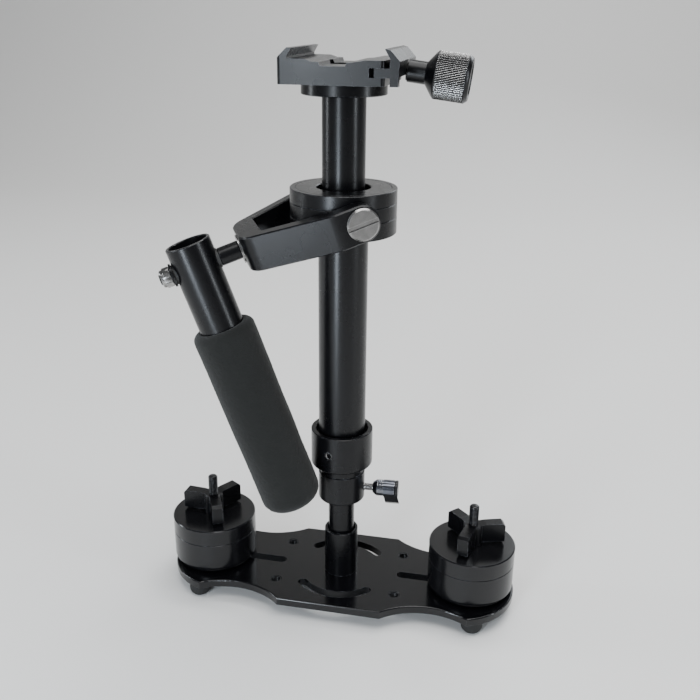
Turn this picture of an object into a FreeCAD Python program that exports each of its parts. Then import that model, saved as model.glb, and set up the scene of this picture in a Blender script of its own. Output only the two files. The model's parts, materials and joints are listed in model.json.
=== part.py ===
import FreeCAD, Part
import os
import re

import Sketcher
from FreeCAD import Placement, Rotation, Vector

# A handheld camera stabiliser: a weighted base plate, a telescopic column, a gimbal with a yoke and a
# hanging foam grip, and a quick-release clamp on top.  Millimetres, +Z up.  The frame's origin is on the
# column's axis, on the top face of the base plate.  +X runs along the plate.

os.makedirs("parts", exist_ok=True)
DOC = FreeCAD.newDocument("handheld_stabiliser")

SIZES = {
    # fits and edges
    "running_gap": 0.05,
    "fixed_gap": 0.02,
    "edge_break": 0.4,
    "soft_edge": 0.8,
    "cut_margin": 1,
    # base plate: two round ends, a straight middle and four waists
    "plate_thickness": 4.8,
    "lobe_x": 73,
    "lobe_radius": 37,
    "middle_half_length": 83,
    "middle_half_width": 40,
    "waist_x": 61,
    "waist_y": 73,
    "waist_radius": 44,
    "accessory_x": 37.8,
    "accessory_y": 21,
    "accessory_radius": 3.3,
    "weight_slot_inner": 36.5,
    "weight_slot_outer": 95,
    "weight_slot_width": 6.2,
    "arc_slot_radius": 28.7,
    "arc_slot_width": 6,
    "arc_slot_angle": 90,
    # rubber feet and their screws
    "foot_x": 86.6,
    "foot_y": 26.9,
    "foot_radius": 6.6,
    "foot_height": 8.6,
    "foot_round": 4.3,
    "foot_screw_radius": 2,
    "foot_screw_head": 3.5,
    "foot_screw_head_height": 2.4,
    "foot_screw_cover": 3,
    "foot_screw_grip": 3.6,
    # fixed post
    "post_radius": 8,
    "post_bore": 6,
    "post_top": 185,
    "sleeve_radius": 10.4,
    "sleeve_top": 30.9,
    "sleeve_lip": 0.9,
    "plug_height": 20,
    "post_screw_radius": 4,
    "post_screw_reach": 16,
    "post_screw_head": 6.5,
    "post_screw_head_height": 4,
    "post_screw_socket": 3,
    "glide_bottom": 173,
    "glide_lip": 2,
    # sliding column
    "main_tube_radius": 14,
    "main_tube_bore": 12.5,
    "main_tube_bottom": 81,
    "main_tube_top": 240.6,
    "upper_tube_radius": 11.83,
    "upper_tube_bore": 9.8,
    "upper_tube_bottom": 221,
    "upper_tube_top": 295.1,
    "joint_plug_bottom": 216,
    "joint_plug_flange": 1.5,
    # collar between post and column
    "collar_bottom": 53.7,
    "collar_neck_radius": 14.2,
    "collar_groove_bottom": 72.4,
    "collar_groove_radius": 13.6,
    "collar_radius": 18.6,
    "collar_cup_bottom": 77.5,
    "collar_top": 101.1,
    "collar_neck_round": 1.3,
    "collar_cup_round": 1.9,
    "collar_rim_radius": 15.6,
    "collar_rim_depth": 6,
    "bush_radius": 11,
    "bush_lip": 2,
    "bush_top": 77,
    "grub_screw_radius": 2.6,
    "grub_screw_length": 4.2,
    "grub_screw_socket": 2.5,
    "grub_screw_z": 89.4,
    "grub_screw_azimuth": -104,
    # locking thumb screw: distances from the column's axis
    "lock_azimuth": 3,
    "lock_z": 61.2,
    "lock_pad_radius": 2.4,
    "lock_pad_outer": 10.9,
    "lock_pad_travel": 1.6,
    "lock_screw_radius": 2,
    "lock_cone_start": 19.8,
    "lock_cone_radius": 3.4,
    "lock_cone_end": 22.4,
    "lock_hub_radius": 5.25,
    "lock_hub_end": 33.5,
    "lock_rib_depth": 0.35,
    "lock_rib_pitch": 1.45,
    "wing_inner": 26.8,
    "wing_outer": 35.4,
    "wing_root": 2.5,
    "wing_reach": 8.7,
    "wing_flare": 1.3,
    "wing_thickness": 4.2,
    "wing_swing": 40,
    # gimbal collar and its two bearings
    "gimbal_radius": 29.5,
    "gimbal_bottom": 222.1,
    "gimbal_lower_seam": 231.1,
    "gimbal_upper_seam": 239,
    "gimbal_top": 246.6,
    "gimbal_lip_radius": 15.2,
    "gimbal_lip_height": 1.1,
    "cover_radius": 26.5,
    "cover_hole": 15,
    "cover_bottom": 244.1,
    "seam_chamfer": 0.3,
    "bearing_lower": 223.6,
    "bearing_height": 6,
    "bearing_spacing": 8,
    "inner_race_radius": 16.3,
    "spacer_radius": 16,
    "ball_pitch_radius": 18,
    "ball_radius": 1.65,
    "ball_count": 24,
    "outer_race_bore": 19.7,
    "outer_race_radius": 22.2,
    "outer_stop_bore": 20.5,
    "nut_height": 3,
    "nut_radius": 16.2,
    # gimbal pivots and yoke: x runs from the pivots to the nose, y along the pivots
    "pivot_z": 234.35,
    "yoke_heading": 206.6,
    "yoke_dip": 18.66,
    "yoke_height": 19.6,
    "yoke_half_width": 39.7,
    "yoke_inner_half_width": 30,
    "yoke_straight": 13,
    "yoke_inner_straight": 14,
    "yoke_nose_half_width": 17.2,
    "yoke_length": 60.2,
    "yoke_gap_half_width": 15.25,
    "yoke_gap_end": 47.8,
    "yoke_nose_round": 10.5,
    "yoke_shoulder_round": 12,
    "yoke_gap_round": 2.5,
    "yoke_chamfer": 0.7,
    "pivot_bush_radius": 7.5,
    "pivot_shoulder_radius": 5,
    "pivot_thread_radius": 2.5,
    "pivot_thread_start": 23,
    "pivot_head_radius": 8.6,
    "pivot_head_face": 41.4,
    "pivot_slot_width": 2.4,
    "pivot_slot_depth": 1,
    # handle bolt, along the yoke's nose
    "bolt_radius": 3,
    "bolt_head_radius": 5,
    "bolt_recess_radius": 5.3,
    "bolt_recess_depth": 6.2,
    "bolt_socket_depth": 3,
    "bolt_end": 107,
    "washer_radius": 8,
    "washer_thickness": 1,
    "spacer_sleeve_radius": 5.1,
    "spacer_sleeve_end": 72.9,
    "handle_reach": 86,
    "handle_bush_radius": 5.5,
    "handle_bush_face": 13,
    "handle_bush_inner": 9.9,
    "nut_washer_radius": 6.5,
    "nut_washer_thickness": 1.2,
    "lock_nut_across": 10,
    "lock_nut_height": 6,
    "lock_nut_collar": 1.6,
    # handle: z runs up the tube from the bolt
    "handle_roll": 4.67,
    "handle_radius": 12.5,
    "handle_bore": 10.8,
    "handle_top": 13.8,
    "handle_bottom": 145,
    "cross_sleeve_radius": 4.5,
    "foam_radius": 18,
    "foam_top": 36,
    "foam_bottom": 152,
    "foam_round": 4.5,
    "end_plug_depth": 12,
    "end_plug_wall": 2,
    # quick-release clamp: x across the dovetail, heights above the clamp's seat
    "flange_radius": 22.85,
    "flange_height": 6.2,
    "spigot_bottom": 285,
    "clamp_half_length": 29,
    "clamp_corner_round": 1.8,
    "clamp_left": 28.4,
    "clamp_right": 26,
    "clamp_right_height": 12.1,
    "clamp_left_height": 12.4,
    "dovetail_left": 23.2,
    "dovetail_foot_height": 13.4,
    "dovetail_lip_left": 20.9,
    "dovetail_lip_width": 2.2,
    "dovetail_lip_height": 17.3,
    "wave_crest_right": 9.9,
    "wave_slope_right": 12.8,
    "wave_slope_drop": 0.6,
    "wave_trough_width": 3.8,
    "wave_crest_left": 7.4,
    "wave_step": 0.1,
    "channel_slope": 0.6,
    "channel_half_width": 6.4,
    "channel_floor": 9.1,
    "channel_side": 10.9,
    "clamp_screw_head": 7,
    "clamp_screw_head_height": 4.6,
    "clamp_screw_seat": 3.6,
    "clamp_screw_radius": 4,
    "clamp_screw_socket": 6,
    "clamp_screw_socket_floor": 1.2,
    "clamp_screw_recess": 8,
    "clamp_screw_bottom": 286,
    "leg_half_start": 22,
    "leg_bottom": 4.1,
    "leg_top": 8.5,
    "leg_end": 20.8,
    "leg_slot_end": 18.3,
    "leg_gap": 0.1,
    "jaw_inner": 28.6,
    "jaw_outer": 32.8,
    "jaw_corner_x": 33.4,
    "jaw_corner_height": 11.9,
    "jaw_undercut": 0.4,
    "jaw_undercut_drop": 0.6,
    "jaw_tip": 26,
    "jaw_tip_width": 2.7,
    "jaw_tip_edge": 0.3,
    "jaw_top": 17.6,
    "jaw_bottom": 4.4,
    "lug_half_start": 24,
    "lug_lap": 0.5,
    "jaw_bore_length": 10,
    # clamp knob and its screw: distances along the knob's axis, which droops outwards
    "knob_height": 6.3,
    "knob_start_x": 33.3,
    "knob_droop": 7,
    "knob_collar_radius": 5.7,
    "knob_collar_end": 9.8,
    "knob_cone_radius": 10.8,
    "knob_cone_end": 13.6,
    "knob_radius": 12.05,
    "knob_grip_start": 15,
    "knob_grip_end": 30.6,
    "knob_end": 32.6,
    "knob_end_radius": 10.6,
    "knob_recess_radius": 8.6,
    "knob_recess_depth": 0.6,
    "jaw_screw_radius": 2.5,
    "jaw_screw_inner": 15.4,
    "jaw_screw_outer": 12,
    # sliding weights
    "left_weight_x": -84.86,
    "right_weight_x": 82.64,
    "weight_radius": 26.4,
    "weight_seam": 20.7,
    "weight_top": 31.2,
    "weight_round": 4.5,
    "weight_chamfer": 0.6,
    "stud_radius": 3,
    "stud_top": 57,
    "stud_head_across": 10,
    "stud_head_height": 4,
    # three-armed nuts on the weights
    "nut_gap": 0.05,
    "wing_nut_height": 13.8,
    "wing_nut_lift": 1.6,
    "wing_nut_reach": 19.4,
    "wing_nut_arm": 6.6,
    "wing_nut_hub": 6,
    "wing_nut_dip": 0.8,
    "wing_nut_corner": 1.6,
    "left_nut_azimuth": 57,
    "right_nut_azimuth": 16,
}

SHEET = DOC.addObject("Spreadsheet::Sheet", "Sizes")
for row, (alias, size) in enumerate(SIZES.items(), start=1):
    SHEET.set(f"A{row}", alias)
    SHEET.set(f"B{row}", str(size))
    SHEET.setAlias(f"B{row}", alias)
DOC.recompute()

ALIASES = re.compile(r"\b(" + "|".join(sorted(SIZES, key=len, reverse=True)) + r")\b")
BODIES = []


# --- sizes as expressions of the sheet's aliases -----------------------------------------------

def number(text):
    """The present value of an expression of aliases."""
    return float(SHEET.evalExpression(text))


def bind(item, path, text):
    """Bind a property or constraint to an expression of aliases."""
    item.setExpression(path, ALIASES.sub(r"Sizes.\1", text))


def bind_position(item, path, at):
    """Bind the three coordinates of a placement."""
    for axis, text in zip("xyz", at):
        bind(item, f"{path}.Base.{axis}", text)


def vector(at):
    return Vector(*[number(text) for text in at])


# --- bodies, sketches and features -------------------------------------------------------------

def new_body(name, at=("0", "0", "0"), rotation=Rotation()):
    body = DOC.addObject("PartDesign::Body", name)
    body.Label = name
    body.Placement = Placement(vector(at), rotation)
    bind_position(body, "Placement", at)
    BODIES.append(body)
    return body


def sketch_on(body, role, offset="0"):
    """A sketch on one of the body's origin planes, moved along the plane's normal."""
    sketch = body.newObject("Sketcher::SketchObject", body.Name + "_sketch")
    plane = next(item for item in body.Origin.OriginFeatures if item.Role == role)
    sketch.AttachmentSupport = [(plane, "")]
    sketch.MapMode = "FlatFace"
    bind(sketch, "AttachmentOffset.Base.z", offset)
    return sketch


def dimension(sketch, kind, where, text):
    index = sketch.addConstraint(Sketcher.Constraint(kind, *where, number(text)))
    bind(sketch, f"Constraints[{index}]", text)


def circles(sketch, rows):
    """Circles, each given by its centre and radius."""
    for x, y, radius in rows:
        curve = Part.Circle(Vector(number(x), number(y), 0), Vector(0, 0, 1), number(radius))
        circle = sketch.addGeometry(curve)
        dimension(sketch, "Radius", (circle,), radius)
        dimension(sketch, "DistanceX", (-1, 1, circle, 3), x)
        dimension(sketch, "DistanceY", (-1, 1, circle, 3), y)
    return sketch


def outline(sketch, corners):
    """A closed outline of straight lines."""
    points = [Vector(number(x), number(y), 0) for x, y in corners]
    first = sketch.GeometryCount
    for start, end in zip(points, points[1:] + points[:1]):
        sketch.addGeometry(Part.LineSegment(start, end))
    count = len(points)
    for step in range(count):
        following = first + (step + 1) % count
        sketch.addConstraint(Sketcher.Constraint("Coincident", first + step, 2, following, 1))
    for step, (x, y) in enumerate(corners):
        dimension(sketch, "DistanceX", (-1, 1, first + step, 1), x)
        dimension(sketch, "DistanceY", (-1, 1, first + step, 1), y)
    return sketch


def rectangle(x_low, x_high, y_low, y_high):
    return [(x_low, y_low), (x_high, y_low), (x_high, y_high), (x_low, y_high)]


def hexagon(sketch, across, turn="0"):
    """A regular hexagon about the origin, given by its width across flats."""
    reach = f"{across} / 2 / cos(30)"
    corners = [
        (f"{reach} * cos({60 * step} + {turn})", f"{reach} * sin({60 * step} + {turn})") for step in range(6)
    ]
    return outline(sketch, corners)


def finish_feature(body, feature, cuts=False):
    """Recompute, and make sure that a cut has taken material away."""
    before = body.Shape.Volume if cuts else 0
    body.Tip = feature
    DOC.recompute()
    if cuts and body.Shape.Volume > before - 0.01:
        raise ValueError(f"{feature.Name} cuts nothing")
    return feature


def pad(body, sketch, length, symmetric=False):
    feature = body.newObject("PartDesign::Pad", body.Name + "_pad")
    feature.Profile = sketch
    feature.SideType = "Symmetric" if symmetric else "One side"
    bind(feature, "Length", length)
    return finish_feature(body, feature)


def pocket(body, sketch, depth, symmetric=False):
    """Cut down from the sketch, against its normal, or both ways."""
    DOC.recompute()
    feature = body.newObject("PartDesign::Pocket", body.Name + "_pocket")
    feature.Profile = sketch
    feature.SideType = "Symmetric" if symmetric else "One side"
    bind(feature, "Length", depth)
    return finish_feature(body, feature, cuts=True)


def spin(body, corners):
    """Revolve an outline of (radius, height) corners about the body's Z axis."""
    sketch = outline(sketch_on(body, "XZ_Plane"), corners)
    feature = body.newObject("PartDesign::Revolution", body.Name + "_spin")
    feature.Profile = sketch
    feature.ReferenceAxis = (sketch, ["V_Axis"])
    feature.Angle = 360
    return finish_feature(body, feature)


def drill(body, at, direction, radius, depth):
    """Cut a round hole from a point along a direction."""
    DOC.recompute()
    feature = body.newObject("PartDesign::SubtractiveCylinder", body.Name + "_hole")
    bind(feature, "Radius", radius)
    bind(feature, "Height", depth)
    feature.Placement = Placement(vector(at), Rotation(Vector(0, 0, 1), direction))
    bind_position(feature, "Placement", at)
    return finish_feature(body, feature, cuts=True)


def box_feature(body, kind, corner, lengths):
    DOC.recompute()
    feature = body.newObject(kind, body.Name + "_box")
    for side, text in zip(("Length", "Width", "Height"), lengths):
        bind(feature, side, text)
    feature.Placement = Placement(vector(corner), Rotation())
    bind_position(feature, "Placement", corner)
    return feature


def notch(body, corner, lengths):
    return finish_feature(body, box_feature(body, "PartDesign::SubtractiveBox", corner, lengths), cuts=True)


def block(body, corner, lengths):
    return finish_feature(body, box_feature(body, "PartDesign::AdditiveBox", corner, lengths))


def repeat_round(body, feature, count):
    """Repeat a feature around the body's Z axis."""
    pattern = body.newObject("PartDesign::PolarPattern", body.Name + "_pattern")
    pattern.Originals = [feature]
    axis = next(item for item in body.Origin.OriginFeatures if item.Role == "Z_Axis")
    pattern.Axis = (axis, [""])
    pattern.Angle = 360
    pattern.Occurrences = count
    return finish_feature(body, pattern)


def edges_where(feature, test):
    return [f"Edge{index}" for index, edge in enumerate(feature.Shape.Edges, start=1) if test(edge)]


def is_round(edge, radius):
    return hasattr(edge.Curve, "Radius") and abs(edge.Curve.Radius - radius) < 1e-4


def rim(radius, height):
    """A test for circular edges of this radius at this height in the body."""
    wanted, level = number(radius), number(height)
    return lambda edge: is_round(edge, wanted) and abs(edge.CenterOfMass.z - level) < 1e-4


def dress(body, kind, size, test):
    """Fillet or chamfer the edges that pass the test."""
    base = body.Tip
    names = edges_where(base, test)
    if not names:
        raise ValueError(f"{body.Name} has no such edge to {kind.lower()}")
    feature = body.newObject("PartDesign::" + kind, body.Name + "_" + kind.lower())
    feature.Base = (base, names)
    bind(feature, "Radius" if kind == "Fillet" else "Size", size)
    return finish_feature(body, feature)


def fillet(body, size, test):
    return dress(body, "Fillet", size, test)


def chamfer(body, size, test):
    return dress(body, "Chamfer", size, test)


def turned(name, corners, at=("0", "0", "0"), rotation=Rotation()):
    """A turned piece, from its (radius, height) outline."""
    body = new_body(name, at, rotation)
    spin(body, corners)
    return body


def tube(inner, outer, low, high):
    return [(inner, low), (outer, low), (outer, high), (inner, high)]


def chamfered_tube(inner, outer, low, high, size="edge_break"):
    """A tube's outline with its outer edges broken."""
    return [
        (inner, low),
        (f"{outer} - {size}", low),
        (outer, f"{low} + {size}"),
        (outer, f"{high} - {size}"),
        (f"{outer} - {size}", high),
        (inner, high),
    ]


def around(direction_x, direction_z):
    """The rotation that turns Z and X to two directions at right angles."""
    return Rotation(direction_x, direction_z.cross(direction_x), direction_z, "ZXY")


def radial(azimuth):
    """A level direction, from its azimuth alias."""
    return Vector(number(f"cos({azimuth})"), number(f"sin({azimuth})"), 0)


# --- base plate, feet and post -----------------------------------------------------------------

def signs():
    return [(along, across) for along in ("", "-") for across in ("", "-")]


def make_base_plate():
    body = new_body("base_plate")
    middle = sketch_on(body, "XY_Plane", "-plate_thickness")
    outline(middle, rectangle(
        "-middle_half_length", "middle_half_length", "-middle_half_width", "middle_half_width"))
    pad(body, middle, "plate_thickness")
    ends = sketch_on(body, "XY_Plane", "-plate_thickness")
    circles(ends, [("lobe_x", "0", "lobe_radius"), ("-lobe_x", "0", "lobe_radius")])
    pad(body, ends, "plate_thickness")
    waists = [(f"{along}waist_x", f"{across}waist_y", "waist_radius") for along, across in signs()]
    pocket(body, circles(sketch_on(body, "XY_Plane"), waists), "plate_thickness")
    outer_radii = (number("lobe_radius"), number("waist_radius"))
    half_width = number("middle_half_width")

    def on_top_outline(edge):
        if edge.BoundBox.ZMin < -1e-4:
            return False
        curved = any(is_round(edge, radius) for radius in outer_radii)
        return curved or abs(abs(edge.CenterOfMass.y) - half_width) < 1e-4

    fillet(body, "soft_edge", on_top_outline)
    holes = [(f"{along}accessory_x", f"{across}accessory_y", "accessory_radius") for along, across in signs()]
    holes.append(("0", "0", "post_screw_radius + 4 * running_gap"))
    pocket(body, circles(sketch_on(body, "XY_Plane"), holes), "plate_thickness")
    chamfer(body, "edge_break", rim("accessory_radius", "0"))
    cut_weight_slots(body)
    cut_arc_slots(body)
    for along, across in signs():
        drill(body, (f"{along}foot_x", f"{across}foot_y", "-plate_thickness"), Vector(0, 0, 1),
              "foot_screw_radius + fixed_gap", "foot_screw_grip + 0.2")


def cut_weight_slots(body):
    """Two straight slots along the plate, in which the weights' studs slide."""
    half = "weight_slot_width / 2"
    inner, outer = f"weight_slot_inner + {half}", f"weight_slot_outer - {half}"
    straights = sketch_on(body, "XY_Plane")
    outline(straights, rectangle(inner, outer, f"-{half}", half))
    outline(straights, rectangle(f"-({outer})", f"-({inner})", f"-{half}", half))
    pocket(body, straights, "plate_thickness")
    centres = [(f"{sign}({place})", "0", half) for sign in ("", "-") for place in (inner, outer)]
    pocket(body, circles(sketch_on(body, "XY_Plane"), centres), "plate_thickness")


def cut_arc_slots(body):
    """Two curved slots about the column, one in front and one behind."""
    inner, outer = "arc_slot_radius - arc_slot_width / 2", "arc_slot_radius + arc_slot_width / 2"
    for near, far in ((inner, outer), (f"-({outer})", f"-({inner})")):
        DOC.recompute()
        sketch = sketch_on(body, "YZ_Plane")
        outline(sketch, rectangle(near, far, "-plate_thickness - cut_margin", "cut_margin"))
        groove = body.newObject("PartDesign::Groove", "arc_slot")
        groove.Profile = sketch
        groove.ReferenceAxis = (sketch, ["V_Axis"])
        groove.Midplane = True
        bind(groove, "Angle", "arc_slot_angle")
        finish_feature(body, groove, cuts=True)
    reach_x, reach_y = "arc_slot_radius * sin(arc_slot_angle / 2)", "arc_slot_radius * cos(arc_slot_angle / 2)"
    ends = [(f"{along}{reach_x}", f"{across}{reach_y}", "arc_slot_width / 2") for along, across in signs()]
    pocket(body, circles(sketch_on(body, "XY_Plane"), ends), "plate_thickness")


def make_feet():
    """Four rubber feet, and the screws that are moulded into them."""
    floor = "-plate_thickness - foot_height"
    head_bottom = f"{floor} + foot_screw_cover"
    head_top = f"{head_bottom} + foot_screw_head_height"
    spots = [(f"{along}foot_x", f"{across}foot_y") for along, across in signs()]

    def group(sketch, radius):
        return circles(sketch, [(x, y, radius) for x, y in spots])

    feet = new_body("feet")
    pad(feet, group(sketch_on(feet, "XY_Plane", floor), "foot_radius"), "foot_height")
    fillet(feet, "foot_round", rim("foot_radius", floor))
    pocket(feet, group(sketch_on(feet, "XY_Plane", "-plate_thickness"), "foot_screw_radius"),
           "foot_height - foot_screw_cover")
    pocket(feet, group(sketch_on(feet, "XY_Plane", head_top), "foot_screw_head"), "foot_screw_head_height")

    screws = new_body("foot_screws")
    pad(screws, group(sketch_on(screws, "XY_Plane", head_bottom), "foot_screw_head"), "foot_screw_head_height")
    pad(screws, group(sketch_on(screws, "XY_Plane", head_top), "foot_screw_radius"),
        "foot_height - foot_screw_cover - foot_screw_head_height + foot_screw_grip")


def make_post():
    bore = "post_radius + fixed_gap"
    turned("post_sleeve", [
        (bore, "0"),
        ("sleeve_radius", "0"),
        ("sleeve_radius", "sleeve_top - edge_break"),
        ("sleeve_radius - edge_break", "sleeve_top"),
        ("post_radius + sleeve_lip", "sleeve_top"),
        ("post_radius + sleeve_lip", "sleeve_top - sleeve_lip"),
        (bore, "sleeve_top - 2 * sleeve_lip"),
    ])
    turned("post_tube", tube("post_bore", "post_radius", "0", "post_top"))
    turned("post_plug", tube(
        "post_screw_radius + fixed_gap", "post_bore - fixed_gap", "0", "plug_height"))
    turned("tube_glide_bush", [
        ("post_radius + fixed_gap", "glide_bottom"),
        ("main_tube_bore - running_gap", "glide_bottom"),
        ("main_tube_bore - running_gap", "post_top + glide_lip"),
        ("post_bore", "post_top + glide_lip"),
        ("post_bore", "post_top"),
        ("post_radius + fixed_gap", "post_top"),
    ])
    head_bottom = "-plate_thickness - post_screw_head_height"
    screw = turned("post_screw", [
        ("0", head_bottom),
        ("post_screw_head - edge_break", head_bottom),
        ("post_screw_head", f"{head_bottom} + edge_break"),
        ("post_screw_head", "-plate_thickness"),
        ("post_screw_radius", "-plate_thickness"),
        ("post_screw_radius", "post_screw_reach"),
        ("0", "post_screw_reach"),
    ])
    socket = hexagon(sketch_on(screw, "XY_Plane", f"{head_bottom} + post_screw_socket"), "5")
    pocket(screw, socket, "post_screw_socket")


# --- sliding column ----------------------------------------------------------------------------

def make_mast_collar():
    collar = turned("mast_collar", [
        ("post_radius + edge_break", "collar_bottom"),
        ("collar_neck_radius", "collar_bottom"),
        ("collar_neck_radius", "collar_groove_bottom - edge_break"),
        ("collar_neck_radius - edge_break", "collar_groove_bottom"),
        ("collar_groove_radius", "collar_groove_bottom"),
        ("collar_groove_radius", "collar_cup_bottom"),
        ("collar_radius", "collar_cup_bottom"),
        ("collar_radius", "collar_top - edge_break"),
        ("collar_radius - edge_break", "collar_top"),
        ("collar_rim_radius + edge_break", "collar_top"),
        ("collar_rim_radius", "collar_top - edge_break"),
        ("collar_rim_radius", "collar_top - collar_rim_depth"),
        ("main_tube_radius + fixed_gap", "collar_top - collar_rim_depth"),
        ("main_tube_radius + fixed_gap", "main_tube_bottom"),
        ("bush_radius", "main_tube_bottom"),
        ("bush_radius", "collar_bottom + bush_lip"),
        ("post_radius + edge_break", "collar_bottom + bush_lip"),
    ])
    fillet(collar, "collar_neck_round", rim("collar_neck_radius", "collar_bottom"))
    fillet(collar, "collar_cup_round", rim("collar_radius", "collar_cup_bottom"))
    outward = radial("lock_azimuth")
    drill(collar, ("0", "0", "lock_z"), outward, "lock_pad_radius + running_gap",
          "lock_pad_outer + lock_pad_travel")
    drill(collar, ("0", "0", "lock_z"), outward, "lock_screw_radius + running_gap", "collar_radius")
    drill(collar, ("0", "0", "grub_screw_z"), radial("grub_screw_azimuth"),
          "grub_screw_radius + fixed_gap", "collar_radius + cut_margin")


def make_collar_fittings():
    bush = turned("mast_bush", tube(
        "post_radius + running_gap", "bush_radius - fixed_gap", "collar_bottom + bush_lip", "bush_top"))
    drill(bush, ("0", "0", "lock_z"), radial("lock_azimuth"), "lock_pad_radius + running_gap",
          "bush_radius + cut_margin")
    screw = turned(
        "collar_grub_screw",
        chamfered_tube("0", "grub_screw_radius", "0", "grub_screw_length"),
        (
            "(main_tube_radius + 2 * fixed_gap) * cos(grub_screw_azimuth)",
            "(main_tube_radius + 2 * fixed_gap) * sin(grub_screw_azimuth)",
            "grub_screw_z",
        ),
        around(Vector(0, 0, 1), radial("grub_screw_azimuth")),
    )
    socket = hexagon(sketch_on(screw, "XY_Plane", "grub_screw_length"), "grub_screw_socket")
    pocket(screw, socket, "grub_screw_length / 2")


def make_lock_screw():
    """The thumb screw that locks the column on the post, and the pad that it presses."""
    origin = ("0", "0", "lock_z")
    facing = around(Vector(0, 0, 1), radial("lock_azimuth"))
    turned("lock_pad", tube(
        "0", "lock_pad_radius", "post_radius + running_gap", "lock_pad_outer"), origin, facing)
    rib = "lock_hub_radius - lock_rib_depth"
    corners = [
        ("0", "lock_pad_outer"),
        ("lock_screw_radius", "lock_pad_outer"),
        ("lock_screw_radius", "lock_cone_start"),
        ("lock_cone_radius", "lock_cone_start"),
        ("lock_hub_radius", "lock_cone_end"),
    ]
    for step in range(3):
        start = f"lock_cone_end + {step} * lock_rib_pitch"
        corners += [
            (rib, f"{start} + lock_rib_pitch / 6"),
            (rib, f"{start} + lock_rib_pitch / 2"),
            ("lock_hub_radius", f"{start} + lock_rib_pitch * 2 / 3"),
        ]
    corners += [
        ("lock_hub_radius", "lock_hub_end - edge_break"),
        ("lock_hub_radius - edge_break", "lock_hub_end"),
        ("0", "lock_hub_end"),
    ]
    screw = turned("thumb_screw", corners, origin, facing)
    notch(screw, ("-lock_hub_radius - cut_margin", "-wing_thickness / 2", "wing_inner"),
          ("lock_hub_radius + cut_margin + wing_root", "wing_thickness", "lock_hub_end"))
    wing = new_body("thumb_wing", origin, facing)
    spin(wing, chamfered_tube("0", "lock_hub_radius", "lock_hub_end + fixed_gap", "wing_outer"))
    lever = outline(sketch_on(wing, "XZ_Plane"), [
        ("wing_root - fixed_gap", "wing_inner + fixed_gap"),
        ("-lock_hub_radius", "wing_inner + fixed_gap"),
        ("-wing_reach", "wing_inner + wing_flare"),
        ("-wing_reach", "wing_outer + wing_flare"),
        ("-lock_hub_radius", "wing_outer"),
        ("-lock_hub_radius + soft_edge", "wing_outer - edge_break"),
        ("wing_root - fixed_gap", "wing_outer - edge_break"),
    ])
    pad(wing, lever, "wing_thickness - 2 * fixed_gap", True)
    turn_about_screw((screw, wing))


def turn_about_screw(bodies):
    """Swing the screw's slot and its lever out from straight down to their resting angle."""
    roll = Rotation(radial("lock_azimuth"), -number("wing_swing"))
    for body in bodies:
        body.Placement = Placement(body.Placement.Base, roll.multiply(body.Placement.Rotation))


def make_column_tubes():
    turned("main_tube", tube("main_tube_bore", "main_tube_radius", "main_tube_bottom", "main_tube_top"))
    turned("upper_tube", tube("upper_tube_bore", "upper_tube_radius", "upper_tube_bottom", "upper_tube_top"))
    flange_top = "main_tube_top + joint_plug_flange"
    turned("tube_joint_plug", [
        ("upper_tube_bore", "joint_plug_bottom"),
        ("main_tube_bore - fixed_gap", "joint_plug_bottom"),
        ("main_tube_bore - fixed_gap", "main_tube_top"),
        ("main_tube_radius", "main_tube_top"),
        ("main_tube_radius", f"{flange_top} - edge_break"),
        ("main_tube_radius - edge_break", flange_top),
        ("upper_tube_radius + fixed_gap", flange_top),
        ("upper_tube_radius + fixed_gap", "upper_tube_bottom"),
        ("upper_tube_bore", "upper_tube_bottom"),
    ])


# --- gimbal ------------------------------------------------------------------------------------

def make_gimbal_rings():
    seat = "outer_race_radius + fixed_gap"
    bottom = turned("gimbal_ring_bottom", [
        ("gimbal_lip_radius", "gimbal_bottom"),
        ("gimbal_radius", "gimbal_bottom"),
        ("gimbal_radius", "gimbal_lower_seam"),
        (seat, "gimbal_lower_seam"),
        (seat, "bearing_lower"),
        ("outer_race_bore", "bearing_lower"),
        ("outer_race_bore", "gimbal_bottom + gimbal_lip_height"),
        ("gimbal_lip_radius", "gimbal_bottom + gimbal_lip_height"),
    ])
    upper_bearing = "bearing_lower + bearing_spacing"
    middle = turned("gimbal_ring_middle", [
        ("outer_stop_bore", "gimbal_lower_seam"),
        ("gimbal_radius", "gimbal_lower_seam"),
        ("gimbal_radius", "gimbal_upper_seam"),
        (seat, "gimbal_upper_seam"),
        (seat, upper_bearing),
        ("outer_stop_bore", upper_bearing),
    ])
    spigot_bottom = f"{upper_bearing} + bearing_height + 2 * running_gap"
    top = turned("gimbal_ring_top", [
        ("outer_stop_bore", spigot_bottom),
        ("outer_race_radius", spigot_bottom),
        ("outer_race_radius", "gimbal_upper_seam"),
        ("gimbal_radius", "gimbal_upper_seam"),
        ("gimbal_radius", "gimbal_top"),
        ("cover_radius + running_gap", "gimbal_top"),
        ("cover_radius + running_gap", "cover_bottom"),
        ("outer_stop_bore", "cover_bottom"),
    ])
    seams = {
        bottom: ("gimbal_bottom", "gimbal_lower_seam"),
        middle: ("gimbal_lower_seam", "gimbal_upper_seam"),
        top: ("gimbal_upper_seam", "gimbal_top"),
    }
    for ring, levels in seams.items():
        for level in levels:
            chamfer(ring, "seam_chamfer", rim("gimbal_radius", level))
    for side in (1, -1):
        drill(middle, ("0", "0", "pivot_z"), pivot_direction() * side,
              "pivot_thread_radius + fixed_gap", "gimbal_radius + cut_margin")
    turned("gimbal_cover", [
        ("cover_hole + edge_break", "gimbal_top"),
        ("cover_hole", "gimbal_top - edge_break"),
        ("cover_hole", "cover_bottom"),
        ("cover_radius", "cover_bottom"),
        ("cover_radius", "gimbal_top - seam_chamfer"),
        ("cover_radius - seam_chamfer", "gimbal_top"),
    ])


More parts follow.
